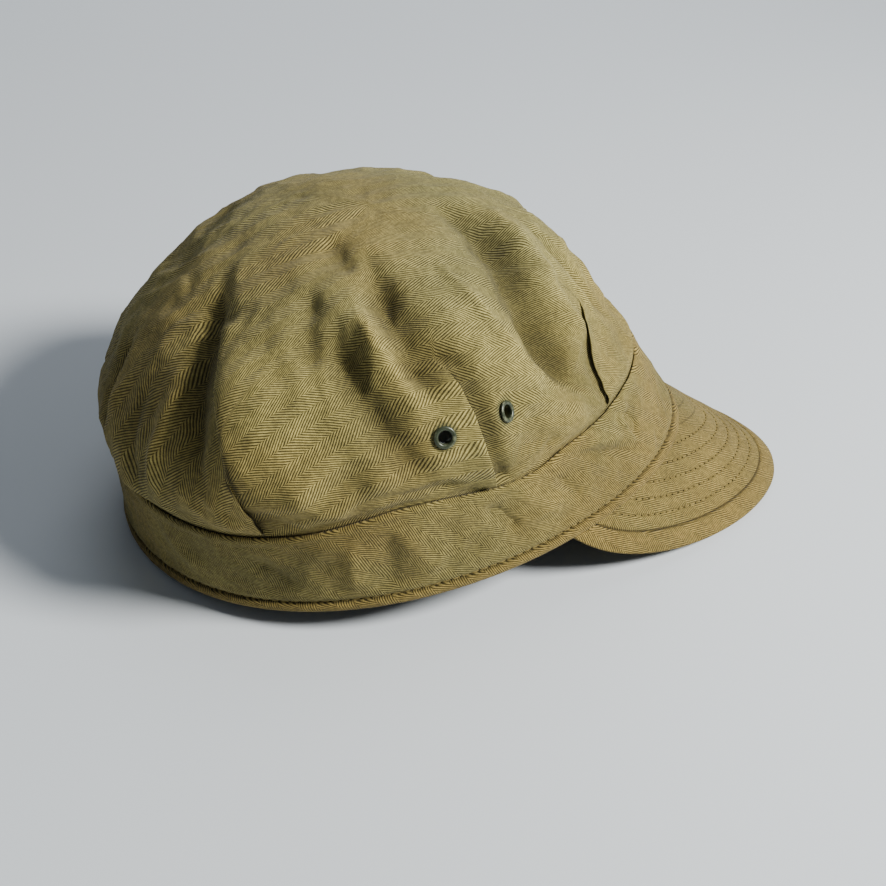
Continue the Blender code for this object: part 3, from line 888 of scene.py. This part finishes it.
def stitch_rows(name, lines, length, first_start, radius, material):
    """Stitches, or dark beads of painted shade in the needle holes, along lines of points with their
    outward directions.
    """
    pitch = (STITCH_MM + STITCH_GAP_MM) * MM
    sides = 6
    points = []
    faces = []
    for line, outward in lines:
        run = length_along(line)
        for index in range(int(run[-1] / pitch)):
            start = index * pitch + first_start
            first = len(points)
            begin = read_along(start, run, line)
            along = read_along(start + length, run, line) - begin
            out = read_along(start + length / 2.0, run, outward)
            out /= np.linalg.norm(out)
            sideways = np.cross(out, along / np.linalg.norm(along))
            for share, lift, thick in STITCH_STATIONS:
                centre = begin + along * share + out * (lift * radius)
                for side in range(sides):
                    turn = math.tau * side / sides
                    ring = sideways * math.cos(turn) + out * math.sin(turn)
                    points.append(centre + ring * radius * thick)
            faces += grid_faces(len(STITCH_STATIONS), sides, True, first)
            faces.append([first + side for side in range(sides)][::-1])
            faces.append([len(points) - sides + side for side in range(sides)])
    return new_object(name, np.array(points), faces, {}, material)


def hem_line():
    """The line of stitches in the groove above the hem."""
    angle = np.linspace(-math.pi, math.pi, 720)
    height = (HEM_HEIGHT_MM + 0.35) * MM
    line = band_surface(angle, height / band_edge_height(angle), 0.42 * MM)
    return line, unit(line * LEVEL)


def make_stitches(peak_parts, material, dark):
    """All the thread that shows, and dark beads of painted shade in the needle holes."""
    surface, normals, edge_mm = peak_parts
    lines = []
    for distance in STITCH_ROWS_MM:
        lines.append((row_line(surface, edge_mm, distance), row_line(normals, edge_mm, distance)))
    length, gap = STITCH_MM * MM, STITCH_GAP_MM * MM
    hem = [hem_line()]
    peak_thread = stitch_rows("peak_stitches", lines, length, gap / 2.0, 0.20 * MM, material)
    hem_thread = stitch_rows("hem_stitches", hem, length, gap / 2.0, 0.15 * MM, material)
    # Dark beads between the stitches paint the shade in the needle holes
    peak_hole_shade = stitch_rows("peak_needle_hole_shade", lines, gap * 0.8, length + gap * 0.6, 0.24 * MM, dark)
    hem_hole_shade = stitch_rows("hem_needle_hole_shade", hem, gap * 0.8, length + gap * 0.6, 0.17 * MM, dark)
    return (peak_thread, peak_hole_shade), (hem_thread, hem_hole_shade)


def make_eyelet(name, centre, direction, material):
    """A rolled eyelet: a rounded flange outside, a barrel through the cloth and a washer inside."""
    roll = (EYELET_RADIUS - EYELET_HOLE) / 2.0
    ring = (EYELET_RADIUS + EYELET_HOLE) / 2.0
    profile = []
    for step in range(11):
        turn = math.pi * step / 10.0
        height = roll * 0.75 * math.sin(turn) - roll * 0.75 + 0.0001
        profile.append((ring + roll * math.cos(turn), height))
    deep = -EYELET_STANDS - CLOTH_WALL - 2.0 * EYELET_METAL
    profile += [
        (EYELET_HOLE, deep),
        (EYELET_HOLE + 0.2 * MM, deep - 0.25 * MM),
        (EYELET_RADIUS - 0.2 * MM, deep - 0.2 * MM),
        (EYELET_RADIUS, deep + 0.1 * MM),
        (EYELET_RADIUS, deep + EYELET_METAL),
        (EYELET_HOLE + EYELET_METAL, deep + EYELET_METAL),
        (EYELET_HOLE + EYELET_METAL, -EYELET_STANDS),
    ]
    sides = 48
    turn = Vector(direction).to_track_quat("Z", "Y").to_matrix()
    place = Vector(centre)
    points = []
    for side in range(sides):
        angle = math.tau * side / sides
        for radius, height in profile:
            local = Vector((radius * math.cos(angle), radius * math.sin(angle), height))
            points.append(place + turn @ local)
    count = len(profile)
    faces = []
    for side in range(sides):
        here = side * count
        after = (side + 1) % sides * count
        for row in range(count):
            below = (row + 1) % count
            faces.append([here + row, here + below, after + below, after + row])
    return new_object(name, np.array(points), faces, {}, material)


class Nodes:
    """Short names for the shader nodes of one material."""

    def __init__(self, name):
        self.material = bpy.data.materials.new(name)
        self.material.use_nodes = True
        self.tree = self.material.node_tree
        self.shader = self.tree.nodes["Principled BSDF"]

    def add(self, kind, **settings):
        node = self.tree.nodes.new(kind)
        for key, value in settings.items():
            setattr(node, key, value)
        return node

    def link(self, source, target):
        self.tree.links.new(source, target)

    def feed(self, socket, value):
        if hasattr(value, "is_output"):
            self.link(value, socket)
        else:
            socket.default_value = value

    def math(self, operation, first, second=0.0, third=0.0, clamp=False):
        node = self.add("ShaderNodeMath", operation=operation, use_clamp=clamp)
        for socket, value in zip(node.inputs, (first, second, third)):
            self.feed(socket, value)
        return node.outputs[0]

    def mix(self, share, first, second, blend="MIX"):
        node = self.add("ShaderNodeMix", data_type="RGBA", blend_type=blend)
        self.feed(node.inputs["Factor"], share)
        self.feed(node.inputs[6], first)
        self.feed(node.inputs[7], second)
        return node.outputs[2]

    def ramp(self, value, low, high):
        node = self.add("ShaderNodeMapRange", interpolation_type="SMOOTHSTEP")
        self.feed(node.inputs[0], value)
        node.inputs[1].default_value = low
        node.inputs[2].default_value = high
        return node.outputs[0]

    def noise(self, vector, scale, detail=3.0):
        node = self.add("ShaderNodeTexNoise")
        node.inputs["Scale"].default_value = scale
        node.inputs["Detail"].default_value = detail
        self.link(vector, node.inputs["Vector"])
        return node.outputs["Fac"]

    def value_of(self, name):
        return self.add("ShaderNodeAttribute", attribute_name=name).outputs["Fac"]

    def place(self):
        return self.add("ShaderNodeTexCoord").outputs["Object"]

    def split(self, vector):
        node = self.add("ShaderNodeSeparateXYZ")
        self.link(vector, node.inputs[0])
        return node.outputs

    def darken(self, shade, value, gain, base):
        return self.math("MULTIPLY", shade, self.math("MULTIPLY_ADD", value, gain, base))

    def dress(self, **values):
        for key, value in values.items():
            self.feed(self.shader.inputs[key.replace("_", " ")], value)


def cloth_material(name, tone, tan_share, quilted=False):
    """Herringbone cotton: twill lines that turn back at each column, faded and soiled in patches, with
    painted shade in its folds, pleats and lower parts and painted light on its ridges and top.
    """
    nodes = Nodes(name)
    colours = [(red * tone, green * tone, blue * tone, 1.0) for red, green, blue in CLOTH_COLOURS]
    light, dark, tan, skylight_tint = colours
    cloth = nodes.add("ShaderNodeAttribute", attribute_name="cloth").outputs["Vector"]
    place = nodes.place()
    warp, weft, _ = nodes.split(cloth)
    upward = nodes.split(place)[2]

    wander = nodes.math("SUBTRACT", nodes.noise(cloth, 160.0, 2.0), 0.5)
    warp = nodes.math("MULTIPLY_ADD", wander, 0.0009, warp)
    column = nodes.math("PINGPONG", weft, WEAVE_COLUMN)
    columns_before = nodes.math("FLOOR", nodes.math("DIVIDE", weft, WEAVE_COLUMN))
    half_step = nodes.math("MULTIPLY", columns_before, 0.5)
    pitch = TWILL_PITCH * math.hypot(1.0, TWILL_STEEPNESS)
    phase = nodes.math("DIVIDE", nodes.math("MULTIPLY_ADD", column, TWILL_STEEPNESS, warp), pitch)
    phase = nodes.math("ADD", phase, half_step)
    wave = nodes.math("SINE", nodes.math("MULTIPLY", phase, math.tau))
    twill = nodes.math("MULTIPLY_ADD", wave, 0.95, 0.58, clamp=True)
    fibre = nodes.noise(cloth, 2600.0, 2.0)

    # Painted light: greener towards the top, where the cool light from above falls
    colour = nodes.mix(nodes.ramp(upward, 0.085, 0.112), light, skylight_tint)
    patch = nodes.ramp(nodes.noise(place, 15.0, 3.0), 0.38, 0.66)
    colour = nodes.mix(nodes.math("MULTIPLY", patch, tan_share), colour, tan)
    colour = nodes.mix(nodes.math("MULTIPLY", nodes.value_of("worn"), 0.8), colour, tan)
    deep = nodes.mix(0.30, dark, nodes.mix(1.0, colour, (0.19, 0.17, 0.12, 1.0), "MULTIPLY"))
    fuzz = nodes.math("MULTIPLY_ADD", fibre, 0.9, -0.40)
    thread = nodes.math("MULTIPLY_ADD", twill, 0.85, fuzz, clamp=True)
    colour = nodes.mix(thread, deep, colour)

    fade = nodes.ramp(nodes.noise(place, 34.0, 4.0), 0.3, 0.7)
    shade = nodes.math("MULTIPLY_ADD", fade, 0.20, 0.92)
    shade = nodes.darken(shade, nodes.ramp(nodes.noise(cloth, 620.0, 2.0), 0.28, 0.72), 0.44, 0.79)
    shade = nodes.darken(shade, nodes.ramp(nodes.noise(place, 90.0, 3.0), 0.3, 0.7), 0.16, 0.92)
    # Painted shade: darker low down and lighter towards the top, as the light falls from above
    shade = nodes.darken(shade, nodes.ramp(upward, 0.03, 0.10), 0.24, 0.80)
    # Painted shade and light: darker in the valleys of the folds and quilting, lighter on their ridges
    shade = nodes.darken(shade, nodes.ramp(nodes.value_of("relief"), -6.0, 2.5), 0.66, 0.46)
    # Painted shade in the pleats' gaps, a painted shadow beside their lips, and painted shade in the
    # groove above the hem
    shade = nodes.darken(shade, nodes.value_of("crease_shade"), -0.7, 1.0)
    if quilted:
        edge = nodes.value_of("edge")
        away = nodes.math("ABSOLUTE", nodes.math("SUBTRACT", edge, PEAK_DITCH_MM))
        shade = nodes.darken(shade, nodes.ramp(away, 0.1, 0.55), 0.6, 0.4)
        half_pitch = PEAK_ROW_PITCH_MM / 2.0
        from_row = nodes.math("SUBTRACT", edge, PEAK_FIRST_ROW_MM - half_pitch)
        from_row = nodes.math("WRAP", from_row, 0.0, PEAK_ROW_PITCH_MM)
        from_row = nodes.math("SUBTRACT", from_row, half_pitch)
        near = nodes.ramp(nodes.math("ABSOLUTE", from_row), 0.55, 0.05)
        quilt = nodes.math("MULTIPLY", near, nodes.ramp(edge, 10.5, 11.5))
        shade = nodes.darken(shade, quilt, -0.42, 1.0)
    grey = nodes.add("ShaderNodeCombineXYZ")
    for socket in grey.inputs:
        nodes.link(shade, socket)
    colour = nodes.mix(1.0, colour, grey.outputs[0], "MULTIPLY")
    stain = nodes.math("MULTIPLY", nodes.value_of("stain"), 0.7)
    colour = nodes.mix(stain, colour, (0.035, 0.050, 0.028, 1.0))

    bump = nodes.add("ShaderNodeBump")
    bump.inputs["Strength"].default_value = 0.9
    bump.inputs["Distance"].default_value = 0.00020
    nodes.link(nodes.math("MULTIPLY_ADD", fibre, 0.5, twill), bump.inputs["Height"])
    nodes.dress(Base_Color=colour, Normal=bump.outputs[0], Roughness=0.92, Specular_IOR_Level=0.15)
    nodes.dress(Sheen_Weight=0.06, Sheen_Roughness=0.5)
    return nodes.material


def thread_material(name, low, high):
    """Sewing thread, uneven along its length. With near-black colours it paints the shade in the needle
    holes.
    """
    nodes = Nodes(name)
    tone = nodes.ramp(nodes.noise(nodes.place(), 900.0, 2.0), 0.3, 0.7)
    nodes.dress(Base_Color=nodes.mix(tone, low, high), Roughness=0.9, Specular_IOR_Level=0.06)
    return nodes.material


def eyelet_material():
    """Dark green enamel over brass, dulled and worn in spots."""
    nodes = Nodes("eyelet_enamel")
    worn = nodes.ramp(nodes.noise(nodes.place(), 700.0, 4.0), 0.52, 0.72)
    colour = nodes.mix(worn, (0.034, 0.043, 0.022, 1.0), (0.135, 0.145, 0.080, 1.0))
    rough = nodes.math("MULTIPLY_ADD", worn, 0.2, 0.34)
    nodes.dress(Base_Color=colour, Metallic=0.2, Roughness=rough)
    return nodes.material


def make_floor():
    """A plain pale floor."""
    bpy.ops.mesh.primitive_plane_add(size=30.0)
    floor = bpy.context.object
    floor.name = "floor"
    nodes = Nodes("floor_paper")
    nodes.dress(Base_Color=(0.62, 0.66, 0.70, 1.0), Roughness=0.9)
    floor.data.materials.append(nodes.material)
    return floor


def add_area_light(name, place, aim, size, power, colour):
    """A soft light that looks at a point."""
    data = bpy.data.lights.new(name, "AREA")
    data.shape = "DISK"
    data.size = size
    data.energy = power
    data.color = colour
    light = link_object(name, data)
    light.location = place
    light.rotation_euler = (Vector(place) - Vector(aim)).to_track_quat("Z", "Y").to_euler()


def make_lights():
    """Soft studio light: a bright window side at the front right and a dim fill."""
    world = bpy.context.scene.world or bpy.data.worlds.new("studio")
    bpy.context.scene.world = world
    world.use_nodes = True
    background = world.node_tree.nodes["Background"]
    background.inputs[0].default_value = (0.80, 0.88, 1.0, 1.0)
    background.inputs[1].default_value = 0.15
    add_area_light("window", (0.76, -0.56, 0.88), (0.0, 0.0, 0.05), 0.36, 35.0, (1.0, 0.985, 0.94))
    add_area_light("backdrop", (0.6, 2.4, 1.7), (0.6, 3.4, 0.0), 2.0, 110.0, (0.96, 0.98, 1.0))
    add_area_light("ceiling", (0.1, 0.5, 1.3), (0.0, 0.0, 0.05), 1.0, 3.0, (0.90, 0.96, 1.0))


def make_camera():
    """The camera at the photograph's angle to the cap."""
    data = bpy.data.cameras.new("camera")
    data.lens = CAMERA_LENS_MM
    data.sensor_width = 36.0
    data.clip_start = 0.01
    camera = link_object("camera", data)
    turn = Matrix.Rotation(CAMERA_AZIMUTH, 4, "Z")
    lean = Matrix.Rotation(math.pi / 2.0 - CAMERA_ELEVATION, 4, "X")
    roll = Matrix.Rotation(CAMERA_ROLL, 4, "Z")
    camera.matrix_world = Matrix.Translation(CAMERA_PLACE) @ turn @ lean @ roll
    bpy.context.scene.camera = camera


def settle(piece, slot, *nodes):
    """Let a piece ride on the cap and stand for its solids."""
    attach(piece, "root")
    if nodes:
        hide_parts(*nodes)


def main():
    """Dress the cap and light it."""
    make_camera()
    crown = make_crown(cloth_material("crown_herringbone", 1.0, 0.55))
    settle(crown, "crown_cloth", "crown")
    band = make_band(cloth_material("band_herringbone", 0.93, 0.75))
    settle(band, "band_cloth", "band")
    peak, *peak_parts = make_peak(cloth_material("peak_herringbone", 0.94, 0.75, True))
    settle(peak, "peak_cloth", "peak")
    thread = thread_material("thread", (0.15, 0.112, 0.036, 1.0), (0.29, 0.222, 0.078, 1.0))
    # Near-black painted shade for the needle holes
    hole_shade = thread_material("needle_hole_shade", (0.010, 0.007, 0.002, 1.0), (0.034, 0.025, 0.008, 1.0))
    on_peak, on_band = make_stitches(peak_parts, thread, hole_shade)
    for piece in on_peak:
        settle(piece, "peak_cloth")
    for piece in on_band:
        settle(piece, "band_cloth")
    enamel = eyelet_material()
    for name, (centre, direction) in EYELETS.items():
        eyelet = make_eyelet("rolled_" + name, centre, direction, enamel)
        settle(eyelet, "eyelet_metal", name)
    make_floor()
    make_lights()


main()
